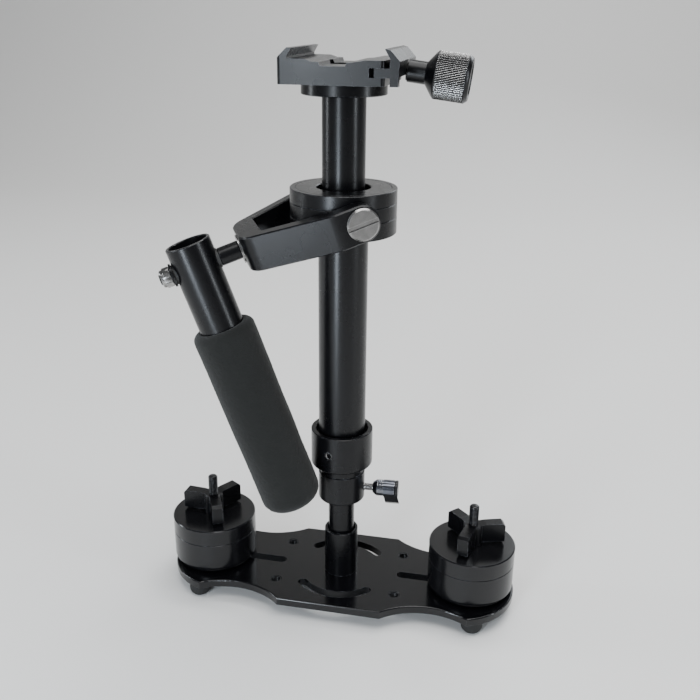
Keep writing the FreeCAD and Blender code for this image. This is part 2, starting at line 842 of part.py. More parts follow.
def make_bearings():
    inner_bore = "main_tube_radius + fixed_gap"
    for name, low in (("lower", "bearing_lower"), ("upper", "bearing_lower + bearing_spacing")):
        high = f"{low} + bearing_height"
        turned(f"bearing_inner_{name}", tube(inner_bore, "inner_race_radius", low, high))
        turned(f"bearing_outer_{name}", tube("outer_race_bore", "outer_race_radius", low, high))
        balls = new_body(f"bearing_balls_{name}")
        ball = balls.newObject("PartDesign::AdditiveSphere", "ball")
        bind(ball, "Radius", "ball_radius")
        centre = ("ball_pitch_radius", "0", f"{low} + bearing_height / 2")
        ball.Placement = Placement(vector(centre), Rotation())
        bind_position(ball, "Placement", centre)
        finish_feature(balls, ball)
        repeat_round(balls, ball, int(number("ball_count")))
    turned("bearing_spacer", tube(
        inner_bore, "spacer_radius", "bearing_lower + bearing_height", "bearing_lower + bearing_spacing"))
    nut_bottom = "bearing_lower + bearing_spacing + bearing_height"
    turned("bearing_nut", tube(inner_bore, "nut_radius", nut_bottom, f"{nut_bottom} + nut_height"))


# --- yoke: its own axes run to the nose, along the pivots and up ---------------------------------

def nose_direction():
    level = number("cos(yoke_dip)")
    return radial("yoke_heading") * level + Vector(0, 0, -number("sin(yoke_dip)"))


def pivot_direction():
    """Along the pivots, to the near side."""
    return radial("yoke_heading + 90")


def yoke_up():
    return nose_direction().cross(pivot_direction())


PIVOT = ("0", "0", "pivot_z")


def make_yoke_frame():
    body = new_body("yoke_frame", PIVOT, around(nose_direction(), yoke_up()))
    near_side = [
        ("0", "yoke_half_width"),
        ("yoke_straight", "yoke_half_width"),
        ("yoke_length", "yoke_nose_half_width"),
    ]
    gap_side = [
        ("yoke_gap_end", "yoke_gap_half_width"),
        ("yoke_inner_straight", "yoke_inner_half_width"),
        ("0", "yoke_inner_half_width"),
    ]
    far_side = [(x, f"-{y}") for x, y in reversed(near_side)]
    far_gap = [(x, f"-{y}") for x, y in reversed(gap_side)]
    plan = outline(sketch_on(body, "XY_Plane"), near_side + far_side + far_gap + gap_side)
    pad(body, plan, "yoke_height", True)
    arm = "yoke_half_width - yoke_inner_half_width"
    for offset in ("-yoke_inner_half_width", "yoke_half_width"):
        arm_end = circles(sketch_on(body, "XZ_Plane", offset), [("0", "0", "yoke_height / 2")])
        feature = pad(body, arm_end, arm)
        feature.Reversed = True
        DOC.recompute()
    for corner, size in (
        (("yoke_length", "yoke_nose_half_width"), "yoke_nose_round"),
        (("yoke_straight", "yoke_half_width"), "yoke_shoulder_round"),
        (("yoke_inner_straight", "yoke_inner_half_width"), "yoke_shoulder_round"),
        (("yoke_gap_end", "yoke_gap_half_width"), "yoke_gap_round"),
    ):
        fillet(body, size, upright_at(*corner))
    chamfer(body, "yoke_chamfer", yoke_rims)
    drill(body, ("0", "-yoke_half_width - cut_margin", "0"), Vector(0, 1, 0),
          "pivot_bush_radius + fixed_gap", "2 * yoke_half_width + 2 * cut_margin")
    drill(body, ("yoke_gap_end - cut_margin", "0", "0"), Vector(1, 0, 0),
          "bolt_radius + fixed_gap", "yoke_length")
    drill(body, ("yoke_gap_end - cut_margin", "0", "0"), Vector(1, 0, 0),
          "bolt_recess_radius", "bolt_recess_depth + cut_margin")


def upright_at(x, y):
    """A test for the upright edges at a corner and at its mirror image."""
    wanted_x, wanted_y = number(x), number(y)

    def test(edge):
        middle = edge.CenterOfMass
        upright = edge.BoundBox.ZLength > 1 and edge.BoundBox.XLength < 1e-4
        return upright and abs(middle.x - wanted_x) < 1e-3 and abs(abs(middle.y) - wanted_y) < 1e-3

    return test


def yoke_rims(edge):
    """The rims of the yoke's top and bottom faces, and of its round arm ends."""
    half_height = number("yoke_height / 2")
    box = edge.BoundBox
    across_arm_end = box.XLength < 1e-4 and box.ZLength < 1e-4 and abs(box.XMin) < 1e-4
    flat_rim = box.ZLength < 1e-4 and abs(abs(box.ZMin) - half_height) < 1e-4 and not across_arm_end
    end_rim = is_round(edge, half_height) and box.YLength < 1e-4
    return flat_rim or end_rim


def make_pivots():
    for name, side in (("near", 1), ("far", -1)):
        facing = around(nose_direction(), pivot_direction() * side)
        screw = turned(f"pivot_screw_{name}", [
            ("0", "pivot_thread_start"),
            ("pivot_thread_radius", "pivot_thread_start"),
            ("pivot_thread_radius", "gimbal_radius + running_gap"),
            ("pivot_shoulder_radius", "gimbal_radius + running_gap"),
            ("pivot_shoulder_radius", "yoke_half_width + running_gap"),
            ("pivot_head_radius", "yoke_half_width + running_gap"),
            ("pivot_head_radius", "pivot_head_face - soft_edge"),
            ("pivot_head_radius - soft_edge", "pivot_head_face"),
            ("0", "pivot_head_face"),
        ], PIVOT, facing)
        notch(screw, ("-pivot_head_radius - cut_margin", "-pivot_slot_width / 2", "pivot_head_face - pivot_slot_depth"),
              ("2 * (pivot_head_radius + cut_margin)", "pivot_slot_width", "pivot_slot_depth + cut_margin"))
        turned(f"pivot_bush_{name}", tube(
            "pivot_shoulder_radius + running_gap", "pivot_bush_radius",
            "yoke_inner_half_width + 2 * running_gap", "yoke_half_width - 2 * running_gap"), PIVOT, facing)


def make_handle_bolt():
    """The bolt through the yoke's nose, with everything that is fixed on it."""
    facing = around(yoke_up(), nose_direction())
    recess_floor = "yoke_gap_end + bolt_recess_depth"
    bolt = turned("handle_bolt", [
        ("0", "yoke_gap_end + 0.2"),
        ("bolt_head_radius - edge_break", "yoke_gap_end + 0.2"),
        ("bolt_head_radius", "yoke_gap_end + 0.2 + edge_break"),
        ("bolt_head_radius", recess_floor),
        ("bolt_radius", recess_floor),
        ("bolt_radius", "bolt_end - edge_break"),
        ("bolt_radius - edge_break", "bolt_end"),
        ("0", "bolt_end"),
    ], PIVOT, facing)
    socket = hexagon(sketch_on(bolt, "XY_Plane", "yoke_gap_end + bolt_socket_depth"), "5")
    pocket(bolt, socket, "bolt_socket_depth")
    bore = "bolt_radius + fixed_gap"
    washer_end = "yoke_length + washer_thickness"
    turned("nose_washer", tube(bore, "washer_radius", "yoke_length", washer_end), PIVOT, facing)
    turned("spacer_sleeve", chamfered_tube(
        bore, "spacer_sleeve_radius", washer_end, "spacer_sleeve_end"), PIVOT, facing)
    nut_washer = "handle_reach + handle_bush_face + running_gap"
    nut_bottom = f"{nut_washer} + nut_washer_thickness"
    turned("nut_washer", tube(bore, "nut_washer_radius", nut_washer, nut_bottom), PIVOT, facing)
    nut = new_body("lock_nut", PIVOT, facing)
    collar_bottom = f"{nut_bottom} + lock_nut_height - lock_nut_collar"
    pad(nut, hexagon(sketch_on(nut, "XY_Plane", nut_bottom), "lock_nut_across", "handle_roll"),
        "lock_nut_height - lock_nut_collar")
    pad(nut, circles(sketch_on(nut, "XY_Plane", collar_bottom), [("0", "0", "lock_nut_across / 2 - edge_break")]),
        "lock_nut_collar")
    fillet(nut, "soft_edge", rim("lock_nut_across / 2 - edge_break", f"{collar_bottom} + lock_nut_collar"))
    drill(nut, ("0", "0", nut_washer), Vector(0, 0, 1), bore, "lock_nut_height + nut_washer_thickness + cut_margin")


# --- handle: its own axes run away from the yoke, sideways and up the tube -----------------------

def make_handle():
    up = yoke_up() * number("cos(handle_roll)") - pivot_direction() * number("sin(handle_roll)")
    facing = around(nose_direction(), up)
    centre = (
        "handle_reach * cos(yoke_dip) * cos(yoke_heading)",
        "handle_reach * cos(yoke_dip) * sin(yoke_heading)",
        "pivot_z - handle_reach * sin(yoke_dip)",
    )
    handle = turned("handle_tube", tube("handle_bore", "handle_radius", "-handle_bottom", "handle_top"),
                    centre, facing)
    chamfer(handle, "edge_break", rim("handle_radius", "handle_top"))
    chamfer(handle, "edge_break", rim("handle_bore", "handle_top"))
    drill(handle, ("-handle_radius - cut_margin", "0", "0"), Vector(1, 0, 0),
          "handle_bush_radius + fixed_gap", "2 * handle_radius + 2 * cut_margin")
    foam = turned("foam_grip", [
        ("0", "-foam_bottom"),
        ("foam_radius", "-foam_bottom"),
        ("foam_radius", "-foam_top"),
        ("handle_radius + fixed_gap", "-foam_top"),
        ("handle_radius + fixed_gap", "-handle_bottom"),
        ("0", "-handle_bottom"),
    ], centre, facing)
    for level in ("-foam_bottom", "-foam_top"):
        fillet(foam, "foam_round", rim("foam_radius", level))
    wall_inner = "handle_bore - fixed_gap - end_plug_wall"
    turned("handle_end_plug", [
        ("0", "-handle_bottom + fixed_gap"),
        ("handle_bore - fixed_gap", "-handle_bottom + fixed_gap"),
        ("handle_bore - fixed_gap", "-handle_bottom + end_plug_depth"),
        (wall_inner, "-handle_bottom + end_plug_depth"),
        (wall_inner, "-handle_bottom + end_plug_wall"),
        ("0", "-handle_bottom + end_plug_wall"),
    ], centre, facing)
    across = facing.multiply(Rotation(Vector(0, 1, 0), 90))
    bore = "bolt_radius + running_gap"
    turned("handle_cross_sleeve", tube(
        bore, "cross_sleeve_radius", "-handle_bush_inner", "handle_bush_inner"), centre, across)
    bushes = new_body("handle_bushes", centre, across)
    for low in ("handle_bush_inner", "-handle_bush_face"):
        ring = [("0", "0", "handle_bush_radius"), ("0", "0", bore)]
        pad(bushes, circles(sketch_on(bushes, "XY_Plane", low), ring), "handle_bush_face - handle_bush_inner")


# --- quick-release clamp -----------------------------------------------------------------------

SEAT = ("0", "0", "upper_tube_top + flange_height")


def make_clamp_flange():
    turned("clamp_flange", [
        ("clamp_screw_radius + fixed_gap", "spigot_bottom"),
        ("upper_tube_bore - fixed_gap", "spigot_bottom"),
        ("upper_tube_bore - fixed_gap", "upper_tube_top"),
        ("flange_radius - edge_break", "upper_tube_top"),
        ("flange_radius", "upper_tube_top + edge_break"),
        ("flange_radius", f"{SEAT[2]} - edge_break"),
        ("flange_radius - edge_break", SEAT[2]),
        ("clamp_screw_radius + fixed_gap", SEAT[2]),
    ])
    screw = turned("clamp_screw", [
        ("0", "clamp_screw_bottom"),
        ("clamp_screw_radius", "clamp_screw_bottom"),
        ("clamp_screw_radius", f"{SEAT[2]} + clamp_screw_seat"),
        ("clamp_screw_head", f"{SEAT[2]} + clamp_screw_seat"),
        ("clamp_screw_head", f"{SEAT[2]} + clamp_screw_seat + clamp_screw_head_height - edge_break"),
        ("clamp_screw_head - edge_break", f"{SEAT[2]} + clamp_screw_seat + clamp_screw_head_height"),
        ("0", f"{SEAT[2]} + clamp_screw_seat + clamp_screw_head_height"),
    ])
    head_top = f"{SEAT[2]} + clamp_screw_seat + clamp_screw_head_height"
    socket = hexagon(sketch_on(screw, "XY_Plane", head_top), "clamp_screw_socket")
    pocket(screw, socket, "clamp_screw_head_height - clamp_screw_socket_floor")


def knob_direction():
    return Vector(number("cos(knob_droop)"), 0, -number("sin(knob_droop)"))


def make_clamp_body():
    body = new_body("clamp_body", SEAT)
    section = [
        ("-clamp_left", "0"),
        ("clamp_right", "0"),
        ("clamp_right", "clamp_right_height"),
        ("clamp_right - wave_crest_right", "clamp_right_height"),
        ("clamp_right - wave_slope_right", "clamp_right_height - wave_slope_drop"),
        ("channel_half_width + wave_trough_width", "channel_side + wave_step"),
        ("channel_half_width + channel_slope", "channel_side - wave_step"),
        ("channel_half_width", "channel_floor"),
        ("-channel_half_width", "channel_floor"),
        ("-channel_half_width - channel_slope", "channel_side"),
        ("-channel_half_width - wave_trough_width", "channel_side + wave_step"),
        ("-channel_half_width - wave_crest_left", "clamp_left_height - 2 * wave_step"),
        ("-dovetail_left", "clamp_left_height"),
        ("-dovetail_left", "dovetail_foot_height"),
        ("-dovetail_lip_left", "dovetail_lip_height"),
        ("-dovetail_lip_left - dovetail_lip_width", "dovetail_lip_height + 2 * wave_step"),
        ("-clamp_left", "clamp_left_height + wave_step"),
    ]
    pad(body, outline(sketch_on(body, "XZ_Plane"), section), "2 * clamp_half_length", True)
    fillet(body, "clamp_corner_round", is_clamp_corner)
    drill(body, ("0", "0", "clamp_screw_seat"), Vector(0, 0, 1), "clamp_screw_recess", "channel_floor")
    drill(body, ("0", "0", "0"), Vector(0, 0, 1), "clamp_screw_radius + fixed_gap", "channel_floor")
    for start in ("-clamp_half_length - cut_margin", "leg_half_start - leg_gap"):
        notch(body, ("leg_slot_end", start, "leg_bottom - leg_gap"), (
            "clamp_right - leg_slot_end + cut_margin",
            "clamp_half_length - leg_half_start + leg_gap + cut_margin",
            "leg_top - leg_bottom + 2 * leg_gap",
        ))
    drill(body, ("knob_start_x", "0", "knob_height"), knob_direction() * -1,
          "jaw_screw_radius + 8 * running_gap", "jaw_screw_inner + 3")


def is_clamp_corner(edge):
    """The upright edges at the clamp's four outer corners."""
    box = edge.BoundBox
    upright = box.ZLength > 5 and box.XLength < 1e-4 and box.YLength < 1e-4
    return upright and abs(abs(box.YMin) - number("clamp_half_length")) < 1e-4


def make_clamp_jaw():
    body = new_body("clamp_jaw", SEAT)
    section = [
        ("jaw_inner", "jaw_bottom"),
        ("jaw_outer", "jaw_bottom"),
        ("jaw_corner_x", "jaw_corner_height"),
        ("jaw_tip + jaw_tip_width", "jaw_top - 2 * jaw_tip_edge"),
        ("jaw_tip + jaw_tip_edge", "jaw_top"),
        ("jaw_tip", "jaw_top - jaw_tip_edge"),
        ("jaw_inner + jaw_undercut", "clamp_left_height"),
        ("jaw_inner", "clamp_left_height - jaw_undercut_drop"),
    ]
    pad(body, outline(sketch_on(body, "XZ_Plane"), section), "2 * clamp_half_length", True)
    lug = ("jaw_outer - jaw_inner", "clamp_half_length - lug_half_start", "jaw_bottom + lug_lap")
    leg = ("jaw_inner - leg_end + lug_lap", "clamp_half_length - leg_half_start", "leg_top - leg_bottom")
    for lug_start, leg_start in (
        ("-clamp_half_length", "-clamp_half_length"),
        ("lug_half_start", "leg_half_start"),
    ):
        block(body, ("jaw_inner", lug_start, "0"), lug)
        block(body, ("leg_end", leg_start, "leg_bottom"), leg)
    drill(body, ("jaw_inner - cut_margin", "0", "knob_height"), Vector(1, 0, 0), "clamp_screw_radius",
          "jaw_bore_length")


def make_clamp_knob():
    origin = ("knob_start_x", "0", f"{SEAT[2]} + knob_height")
    facing = around(Vector(0, 1, 0), knob_direction())
    bore = "jaw_screw_radius + fixed_gap"
    start = "4 * running_gap"
    turned("clamp_knob", [
        (bore, start),
        ("knob_collar_radius - edge_break", start),
        ("knob_collar_radius", f"{start} + edge_break"),
        ("knob_collar_radius", "knob_collar_end"),
        ("knob_cone_radius", "knob_cone_end"),
        ("knob_radius", "knob_grip_start"),
        ("knob_radius", "knob_grip_end"),
        ("knob_end_radius", "knob_end"),
        ("knob_recess_radius", "knob_end"),
        ("knob_recess_radius - edge_break", "knob_end - knob_recess_depth"),
        ("0", "knob_end - knob_recess_depth"),
        ("0", "jaw_screw_outer + fixed_gap"),
        (bore, "jaw_screw_outer + fixed_gap"),
    ], origin, facing)
    turned("jaw_screw", chamfered_tube(
        "0", "jaw_screw_radius", "-jaw_screw_inner", "jaw_screw_outer"), origin, facing)


# --- weights -----------------------------------------------------------------------------------

def make_weight(side):
    at = (f"{side}_weight_x", "0", "0")
    bore = "stud_radius + fixed_gap"
    lower = turned(f"{side}_disc_lower", [
        (bore, "0"),
        ("weight_radius", "0"),
        ("weight_radius", "weight_seam - seam_chamfer"),
        ("weight_radius - seam_chamfer", "weight_seam"),
        (bore, "weight_seam"),
    ], at)
    fillet(lower, "weight_round", rim("weight_radius", "0"))
    turned(f"{side}_disc_upper", [
        (bore, "weight_seam"),
        ("weight_radius - seam_chamfer", "weight_seam"),
        ("weight_radius", "weight_seam + seam_chamfer"),
        ("weight_radius", "weight_top - weight_chamfer"),
        ("weight_radius - weight_chamfer", "weight_top"),
        (bore, "weight_top"),
    ], at)
    make_stud(side, at)
    make_wing_nut(side, (at[0], "0", "weight_top + nut_gap"))


def make_stud(side, at):
    """The hexagon bolt that comes up through the plate and the weight."""
    stud = new_body(f"{side}_stud", at)
    head_bottom = "-plate_thickness - stud_head_height - running_gap"
    pad(stud, hexagon(sketch_on(stud, "XY_Plane", head_bottom), "stud_head_across"), "stud_head_height")
    pad(stud, circles(sketch_on(stud, "XY_Plane", head_bottom), [("0", "0", "stud_radius")]),
        f"stud_top - ({head_bottom})")
    fillet(stud, "2 * soft_edge", rim("stud_radius", "stud_top"))


def make_wing_nut(side, at):
    body = new_body(f"{side}_wing_nut", at, Rotation(Vector(0, 0, 1), number(f"{side}_nut_azimuth")))
    hub_top = "wing_nut_height - wing_nut_dip"
    bore = "stud_radius + running_gap"
    spin(body, chamfered_tube("stud_radius / 2", "wing_nut_hub", "0", hub_top))
    arm = outline(sketch_on(body, "XZ_Plane"), [
        ("stud_radius", "wing_nut_lift"),
        ("wing_nut_reach", "wing_nut_lift"),
        ("wing_nut_reach", "wing_nut_height - wing_nut_corner"),
        ("wing_nut_reach - wing_nut_corner", "wing_nut_height"),
        ("wing_nut_hub + wing_nut_corner", "wing_nut_height - wing_nut_dip / 4"),
        ("stud_radius", hub_top),
    ])
    repeat_round(body, pad(body, arm, "wing_nut_arm", True), 3)
    drill(body, ("0", "0", "-cut_margin"), Vector(0, 0, 1), bore, "wing_nut_height + 2 * cut_margin")


# --- the whole stabiliser ----------------------------------------------------------------------

make_base_plate()
make_feet()
make_post()
make_mast_collar()
make_collar_fittings()
make_lock_screw()
make_column_tubes()
make_gimbal_rings()
make_bearings()
make_yoke_frame()
make_pivots()
make_handle_bolt()
make_handle()
make_clamp_flange()
make_clamp_body()
make_clamp_jaw()
make_clamp_knob()
make_weight("left")
make_weight("right")
DOC.recompute()

for item in DOC.Objects:
    if "Invalid" in item.State or "Error" in item.State:
        raise ValueError(f"{item.Name} is not valid")
for body in BODIES:
    if body.Shape.isNull() or not body.Shape.isValid():
        raise ValueError(f"{body.Name} has no valid shape")
    body.Shape.exportStep(os.path.join("parts", body.Label + ".step"))
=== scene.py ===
import json
import math

import bpy
from mathutils import Matrix, Vector, noise


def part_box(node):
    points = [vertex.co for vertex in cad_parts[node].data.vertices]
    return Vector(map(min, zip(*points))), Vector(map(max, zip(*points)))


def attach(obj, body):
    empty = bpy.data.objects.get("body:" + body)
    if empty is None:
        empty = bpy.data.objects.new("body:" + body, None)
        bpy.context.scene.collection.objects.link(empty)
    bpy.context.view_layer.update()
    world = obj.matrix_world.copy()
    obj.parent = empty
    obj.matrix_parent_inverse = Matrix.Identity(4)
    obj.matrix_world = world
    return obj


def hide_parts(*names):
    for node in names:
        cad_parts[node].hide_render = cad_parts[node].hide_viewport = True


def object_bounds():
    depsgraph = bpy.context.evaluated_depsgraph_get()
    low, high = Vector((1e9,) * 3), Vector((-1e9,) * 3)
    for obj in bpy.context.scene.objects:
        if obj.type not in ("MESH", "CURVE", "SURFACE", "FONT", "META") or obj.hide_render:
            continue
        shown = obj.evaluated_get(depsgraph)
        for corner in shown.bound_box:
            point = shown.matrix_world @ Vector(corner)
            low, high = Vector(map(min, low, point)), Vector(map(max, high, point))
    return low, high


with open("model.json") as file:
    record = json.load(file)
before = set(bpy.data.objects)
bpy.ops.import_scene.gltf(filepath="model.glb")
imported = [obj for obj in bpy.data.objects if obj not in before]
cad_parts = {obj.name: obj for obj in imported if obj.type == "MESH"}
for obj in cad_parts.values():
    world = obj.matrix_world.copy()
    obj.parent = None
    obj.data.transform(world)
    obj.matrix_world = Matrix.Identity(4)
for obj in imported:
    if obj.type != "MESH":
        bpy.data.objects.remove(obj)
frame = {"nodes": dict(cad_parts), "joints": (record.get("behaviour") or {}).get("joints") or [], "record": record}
cad_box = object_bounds()

MM = 0.001
AXES = {joint["name"]: joint["axis"] for joint in frame["joints"]}
SLOTS = {row["node"]: row["material_slot"] for row in frame["record"]["subparts"]}

EDGE_REACH = 0.0003
# Edge tone of the anodised parts: rubbed bare aluminium, and also a painted highlight along the edges.
RUBBED_AND_LIT_EDGE = (0.30, 0.31, 0.34)
# Near-white tone painted along the edges of turned metal: a painted highlight.
EDGE_HIGHLIGHT = (0.85, 0.85, 0.85)


# --- node trees -----------------------------------------------------------------------------------

def new_material(name):
    """An empty material with one Principled shader, and its tree, shader and surface coordinates."""
    material = bpy.data.materials.new(name)
    material.use_nodes = True
    tree = material.node_tree
    tree.nodes.clear()
    shader = tree.nodes.new("ShaderNodeBsdfPrincipled")
    output = tree.nodes.new("ShaderNodeOutputMaterial")
    tree.links.new(shader.outputs["BSDF"], output.inputs["Surface"])
    place = tree.nodes.new("ShaderNodeTexCoord")
    return material, tree, shader, place.outputs["Object"]


def stretched(tree, coordinates, scale):
    mapping = tree.nodes.new("ShaderNodeMapping")
    mapping.inputs["Scale"].default_value = scale
    tree.links.new(coordinates, mapping.inputs["Vector"])
    return mapping.outputs["Vector"]


def noise_of(tree, coordinates, scale, detail=3.0):
    texture = tree.nodes.new("ShaderNodeTexNoise")
    texture.inputs["Scale"].default_value = scale
    texture.inputs["Detail"].default_value = detail
    texture.inputs["Roughness"].default_value = 0.55
    tree.links.new(coordinates, texture.inputs["Vector"])
    return texture.outputs["Fac"]


def remap(tree, value, low, high, from_low=0.0, from_high=1.0):
    node = tree.nodes.new("ShaderNodeMapRange")
    node.inputs["From Min"].default_value = from_low
    node.inputs["From Max"].default_value = from_high
    node.inputs["To Min"].default_value = low
    node.inputs["To Max"].default_value = high
    tree.links.new(value, node.inputs["Value"])
    return node.outputs["Result"]


def multiply(tree, first, second):
    node = tree.nodes.new("ShaderNodeMath")
    node.operation = "MULTIPLY"
    tree.links.new(first, node.inputs[0])
    tree.links.new(second, node.inputs[1])
    return node.outputs["Value"]


def blend_colours(tree, factor, dark, light):
    ramp = tree.nodes.new("ShaderNodeValToRGB")
    ramp.color_ramp.elements[0].color = (*dark, 1)
    ramp.color_ramp.elements[1].color = (*light, 1)
    tree.links.new(factor, ramp.inputs["Fac"])
    return ramp.outputs["Color"]


def raise_surface(tree, shader, height, strength, distance):
    bump = tree.nodes.new("ShaderNodeBump")
    bump.inputs["Strength"].default_value = strength
    bump.inputs["Distance"].default_value = distance
    tree.links.new(height, bump.inputs["Height"])
    tree.links.new(bump.outputs["Normal"], shader.inputs["Normal"])


# --- materials: grain and marks are sized in metres -----------------------------------------------

def edge_share(tree):
    """From 0 on flat faces to 1 at edges, found by comparing the bevelled normal with the true one."""
    bevel = tree.nodes.new("ShaderNodeBevel")
    bevel.samples = 4
    bevel.inputs["Radius"].default_value = EDGE_REACH
    geometry = tree.nodes.new("ShaderNodeNewGeometry")
    product = tree.nodes.new("ShaderNodeVectorMath")
    product.operation = "DOT_PRODUCT"
    tree.links.new(bevel.outputs["Normal"], product.inputs[0])
    tree.links.new(geometry.outputs["Normal"], product.inputs[1])
    return remap(tree, product.outputs["Value"], 1.0, 0.0, 0.80, 0.985)


def worn_and_lit(tree, colour, wear_and_highlight, bare_and_lit_tone):
    """The colour, with a lighter edge tone where the factor is 1; on anodised parts the tone is rubbed bare metal
    and a painted highlight, on turned metal a painted highlight.
    """
    mix = tree.nodes.new("ShaderNodeMix")
    mix.data_type = "RGBA"
    mix.inputs["B"].default_value = (*bare_and_lit_tone, 1)
    tree.links.new(wear_and_highlight, mix.inputs["Factor"])
    tree.links.new(colour, mix.inputs["A"])
    return mix.outputs["Result"]


def anodised(name, dark, light, smooth, rough, specular, grain, wear_and_highlight=0.5):
    """Bead-blasted, dyed aluminium: fine grain, soft gloss, faint handling marks and lighter edges in patches,
    partly rubbed bare metal and partly a painted highlight.
    """
    material, tree, shader, place = new_material(name)
    grains = noise_of(tree, place, 5200, 2.0)
    clouds = noise_of(tree, place, 38, 4.0)
    patches = remap(tree, noise_of(tree, place, 420, 4.0), 0.0, wear_and_highlight, 0.42, 0.66)
    # Lighter edges in noise patches: partly rubbed bare metal, partly a painted highlight along the edges.
    rubbed_and_lit = multiply(tree, edge_share(tree), patches)
    tone = worn_and_lit(tree, blend_colours(tree, clouds, dark, light), rubbed_and_lit, RUBBED_AND_LIT_EDGE)
    tree.links.new(tone, shader.inputs["Base Color"])
    tree.links.new(remap(tree, clouds, smooth, rough, 0.3, 0.7), shader.inputs["Roughness"])
    shader.inputs["Specular IOR Level"].default_value = specular
    raise_surface(tree, shader, grains, grain, 0.00003)
    return material


def turned_steel(name, dark, light, roughness, edge=EDGE_HIGHLIGHT):
    """Bare metal with fine marks from the lathe, duller patches and bright edges, a painted highlight."""
    material, tree, shader, place = new_material(name)
    marks = noise_of(tree, stretched(tree, place, (1, 1, 3)), 2600)
    clouds = noise_of(tree, place, 220, 4.0)
    # Every edge is mixed fully towards the edge tone: a painted highlight.
    tone = worn_and_lit(tree, blend_colours(tree, clouds, dark, light), edge_share(tree), edge)
    tree.links.new(tone, shader.inputs["Base Color"])
    spread = remap(tree, marks, roughness * 0.75, roughness * 1.4, 0.3, 0.7)
    tree.links.new(spread, shader.inputs["Roughness"])
    shader.inputs["Metallic"].default_value = 1.0
    raise_surface(tree, shader, marks, 0.25, 0.00004)
    return material


def foam_rubber(name):
    """Fine closed-cell foam."""
    material, tree, shader, place = new_material(name)
    cells = tree.nodes.new("ShaderNodeTexVoronoi")
    cells.inputs["Scale"].default_value = 1500
    tree.links.new(place, cells.inputs["Vector"])
    clouds = noise_of(tree, place, 160, 5.0)
    tone = blend_colours(tree, clouds, (0.006, 0.0065, 0.006), (0.012, 0.0125, 0.0115))
    tree.links.new(tone, shader.inputs["Base Color"])
    tree.links.new(remap(tree, clouds, 0.8, 0.95), shader.inputs["Roughness"])
    shader.inputs["Specular IOR Level"].default_value = 0.2
    shader.inputs["Sheen Weight"].default_value = 0.12
    shader.inputs["Sheen Roughness"].default_value = 0.5
    raise_surface(tree, shader, cells.outputs["Distance"], 0.6, 0.0003)
    return material


def soft_black(name, tone, roughness):
    """Rubber or nylon."""
    material, tree, shader, place = new_material(name)
    grains = noise_of(tree, place, 1800)
    dark = tuple(0.7 * part for part in tone)
    tree.links.new(blend_colours(tree, noise_of(tree, place, 90), dark, tone), shader.inputs["Base Color"])
    tree.links.new(remap(tree, grains, roughness - 0.1, roughness + 0.08), shader.inputs["Roughness"])
    shader.inputs["Specular IOR Level"].default_value = 0.35
    raise_surface(tree, shader, grains, 0.3, 0.0001)
    return material


MATERIALS = {
    "black_anodised": anodised(
        "black_anodised", (0.0015, 0.0015, 0.002), (0.003, 0.003, 0.0038), 0.24, 0.32, 0.28, 0.2, 0.8),
    "black_plate": anodised(
        "black_plate", (0.0015, 0.0015, 0.002), (0.003, 0.003, 0.004), 0.12, 0.18, 0.4, 0.1),
    "black_steel": anodised(
        "black_steel", (0.0025, 0.0025, 0.003), (0.005, 0.005, 0.006), 0.17, 0.26, 0.4, 0.12),
    "bright_steel": turned_steel("bright_steel", (0.20, 0.195, 0.19), (0.36, 0.355, 0.35), 0.24),
    "nickel": turned_steel("nickel", (0.08, 0.085, 0.10), (0.17, 0.18, 0.21), 0.16),
    "gunmetal": turned_steel("gunmetal", (0.07, 0.075, 0.09), (0.16, 0.17, 0.2), 0.24, (0.3, 0.31, 0.36)),
    "foam": foam_rubber("foam"),
    "rubber": soft_black("rubber", (0.012, 0.012, 0.012), 0.7),
    "bush_plastic": soft_black("bush_plastic", (0.03, 0.03, 0.03), 0.5),
    "bush_brass": turned_steel("bush_brass", (0.55, 0.38, 0.16), (0.7, 0.52, 0.26), 0.3, (0.8, 0.65, 0.35)),
}


def paint(piece, slot):
    piece.data.materials.clear()
    piece.data.materials.append(MATERIALS[slot])


for node, shown in frame["nodes"].items():
    paint(shown, SLOTS[node])


# --- places, in millimetres -----------------------------------------------------------------------

KNOB_AXIS = AXES["knob_turn"]
LOCK_AXIS = AXES["lock_screw_turn"]
YOKE_NOSE = AXES["handle_roll"]
PIVOT_SIDE = [-part for part in AXES["yoke_tilt"]]
PIVOT = (0, 0, 234.35)
KNOB_START = (33.3, 0, 307.6)
LOCK_SCREW = (0, 0, 61.2)
HOLE_X = 37.8
HOLE_Y = 21
HANDLE_REACH = 86.0
HANDLE_BUSH_FACE = 13.0
RUNNING_GAP = 0.05
NUT_WASHER_THICKNESS = 1.2
NUT_START = HANDLE_REACH + HANDLE_BUSH_FACE + RUNNING_GAP + NUT_WASHER_THICKNESS
HANDLE_BOLT = [at + HANDLE_REACH * part for at, part in zip(PIVOT, YOKE_NOSE)]
HANDLE_LEAN = math.radians(4.67)
GRUB_START = 14.02
GRUB_END = 18.22
THREAD_STEPS = 8
YOKE_UP = Vector(YOKE_NOSE).cross(Vector(PIVOT_SIDE))
HANDLE_UP = math.cos(HANDLE_LEAN) * YOKE_UP - math.sin(HANDLE_LEAN) * Vector(PIVOT_SIDE)


# --- pieces built as rings about an axis ----------------------------------------------------------

def box_middle(node):
    low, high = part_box(node)
    return (low + high) / 2 / MM


def standing(x, y=0.0):
    """The place of a piece that stands upright on the plate's top face."""
    return Matrix.Translation(Vector((x, y, 0)) * MM)


def along(origin, axis, side):
    """The place of a piece whose own z runs along axis, with its x towards side. Origin in millimetres."""
    z = Vector(axis).normalized()
    y = z.cross(Vector(side)).normalized()
    turn = Matrix((y.cross(z), y, z)).transposed().to_4x4()
    return Matrix.Translation(Vector(origin) * MM) @ turn


